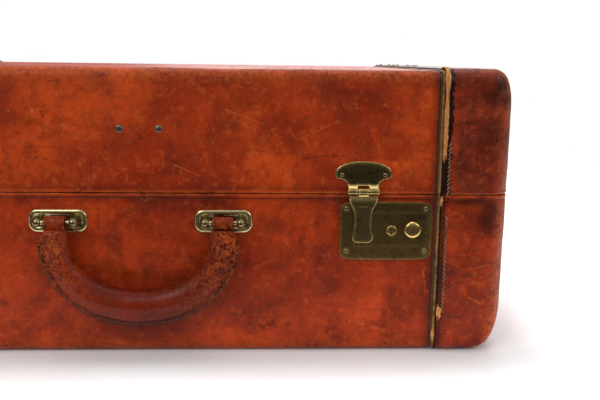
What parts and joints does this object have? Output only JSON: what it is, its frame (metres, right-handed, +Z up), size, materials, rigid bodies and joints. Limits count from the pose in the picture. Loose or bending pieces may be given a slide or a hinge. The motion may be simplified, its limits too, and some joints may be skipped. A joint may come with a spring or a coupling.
{
  "type": "hard leather suitcase",
  "caption": "Hard leather suitcase with a hinged lid, moulded end caps, a loop handle and brass slide locks with hasps at the front.",
  "frame": {"origin": "middle of the underside, on the surface that the case lies on", "axes": "+X along the width, front with handle and locks at -Y, rear hinges at +Y, +Z up through the lid"},
  "size_m": [0.5656, 0.4105, 0.2207],
  "materials": {
    "leather_main": "smooth reddish-brown bridle leather, mottled and scuffed",
    "leather_cap": "darker reddish-brown moulded leather, stained and worn along its edges",
    "leather_welt": "tan rolled piping",
    "leather_handle": "glossy dark brown leather, cracked at the ends",
    "leather_strap": "matt tan strap leather",
    "board": "raw ply board",
    "lining_cloth": "woven cotton lining",
    "brass_antique": "dark olive patina with bright worn edges",
    "brass_bright": "polished by use",
    "iron_dark": "blackened domed rivet",
    "steel": "plain steel"
  },
  "bodies": {
    "case_body": {"body_shell": "board", "body_lining": "lining_cloth", "body_leather": "leather_main", "body_end_cap_left": "leather_cap", "body_end_cap_right": "leather_cap", "body_welts": "leather_welt", "body_end_panels": "leather_main", "body_rim": "lining_cloth", "packing_straps": "leather_strap", "strap_buckles": "brass_bright", "hinge_leaf_body_left": "brass_antique", "hinge_leaf_body_right": "brass_antique", "hinge_pin_left": "brass_bright", "hinge_pin_right": "brass_bright", "hinge_rivets_body": "brass_bright", "handle_plate_left": "brass_antique", "handle_plate_right": "brass_antique", "handle_staple_left": "brass_bright", "handle_staple_right": "brass_bright", "lock_plate_left": "brass_antique", "lock_plate_right": "brass_antique", "lock_case_left": "steel", "lock_case_right": "steel", "lock_plate_rivets": "brass_bright", "key_escutcheon_left": "brass_bright", "key_escutcheon_right": "brass_bright"},
    "lid": {"lid_shell": "board", "lid_lining": "lining_cloth", "lid_leather": "leather_main", "lid_end_cap_left": "leather_cap", "lid_end_cap_right": "leather_cap", "lid_welts": "leather_welt", "lid_end_panels": "leather_main", "lid_pocket": "lining_cloth", "lid_rivets": "iron_dark", "lid_keeper": "leather_strap", "hinge_leaf_lid_left": "brass_antique", "hinge_leaf_lid_right": "brass_antique", "hinge_rivets_lid": "brass_bright", "hasp_plate_left": "brass_antique", "hasp_plate_right": "brass_antique", "hasp_plate_rivets": "brass_bright", "hasp_pin_left": "brass_bright", "hasp_pin_right": "brass_bright"},
    "handle": {"handle_grip": "leather_handle", "handle_core": "steel", "handle_loops": "leather_handle"},
    "left_hasp": {"hasp_left": "brass_antique"},
    "right_hasp": {"hasp_right": "brass_antique"},
    "left_slider": {"lock_slider_left": "steel", "lock_knob_left": "brass_bright", "lock_spring_left": "steel"},
    "right_slider": {"lock_slider_right": "steel", "lock_knob_right": "brass_bright", "lock_spring_right": "steel"},
    "left_lever": {"lock_lever_left": "steel"},
    "right_lever": {"lock_lever_right": "steel"}
  },
  "joints": [
    {"name": "lid_hinge", "type": "hinge", "parent": "case_body", "child": "lid", "pos_m": [0, 0.1934, 0.1258], "axis": [-1, 0, 0], "range_deg": [0, 105]},
    {"name": "handle_swing", "type": "hinge", "parent": "case_body", "child": "handle", "pos_m": [0, -0.1995, 0.1052], "axis": [-1, 0, 0], "range_deg": [0, 150]},
    {"name": "hasp_left_swing", "type": "hinge", "parent": "lid", "child": "left_hasp", "pos_m": [-0.1665, -0.1936, 0.1284], "axis": [-1, 0, 0], "range_deg": [0, 165]},
    {"name": "hasp_right_swing", "type": "hinge", "parent": "lid", "child": "right_hasp", "pos_m": [0.1665, -0.1936, 0.1284], "axis": [-1, 0, 0], "range_deg": [0, 165]},
    {"name": "knob_left_slide", "type": "slide", "parent": "case_body", "child": "left_slider", "axis": [-1, 0, 0], "range_m": [0, 0.004], "stiffness_N_per_m": 150, "springref_m": -0.002, "deforming": ["lock_spring_left"]},
    {"name": "knob_right_slide", "type": "slide", "parent": "case_body", "child": "right_slider", "axis": [1, 0, 0], "range_m": [0, 0.004], "stiffness_N_per_m": 150, "springref_m": -0.002, "deforming": ["lock_spring_right"]},
    {"name": "key_lever_left_turn", "type": "hinge", "parent": "case_body", "child": "left_lever", "pos_m": [-0.1887, -0.1885, 0.0985], "axis": [0, -1, 0], "range_deg": [-75, 0]},
    {"name": "key_lever_right_turn", "type": "hinge", "parent": "case_body", "child": "right_lever", "pos_m": [0.1887, -0.1885, 0.0985], "axis": [0, 1, 0], "range_deg": [-75, 0]}
  ]
}
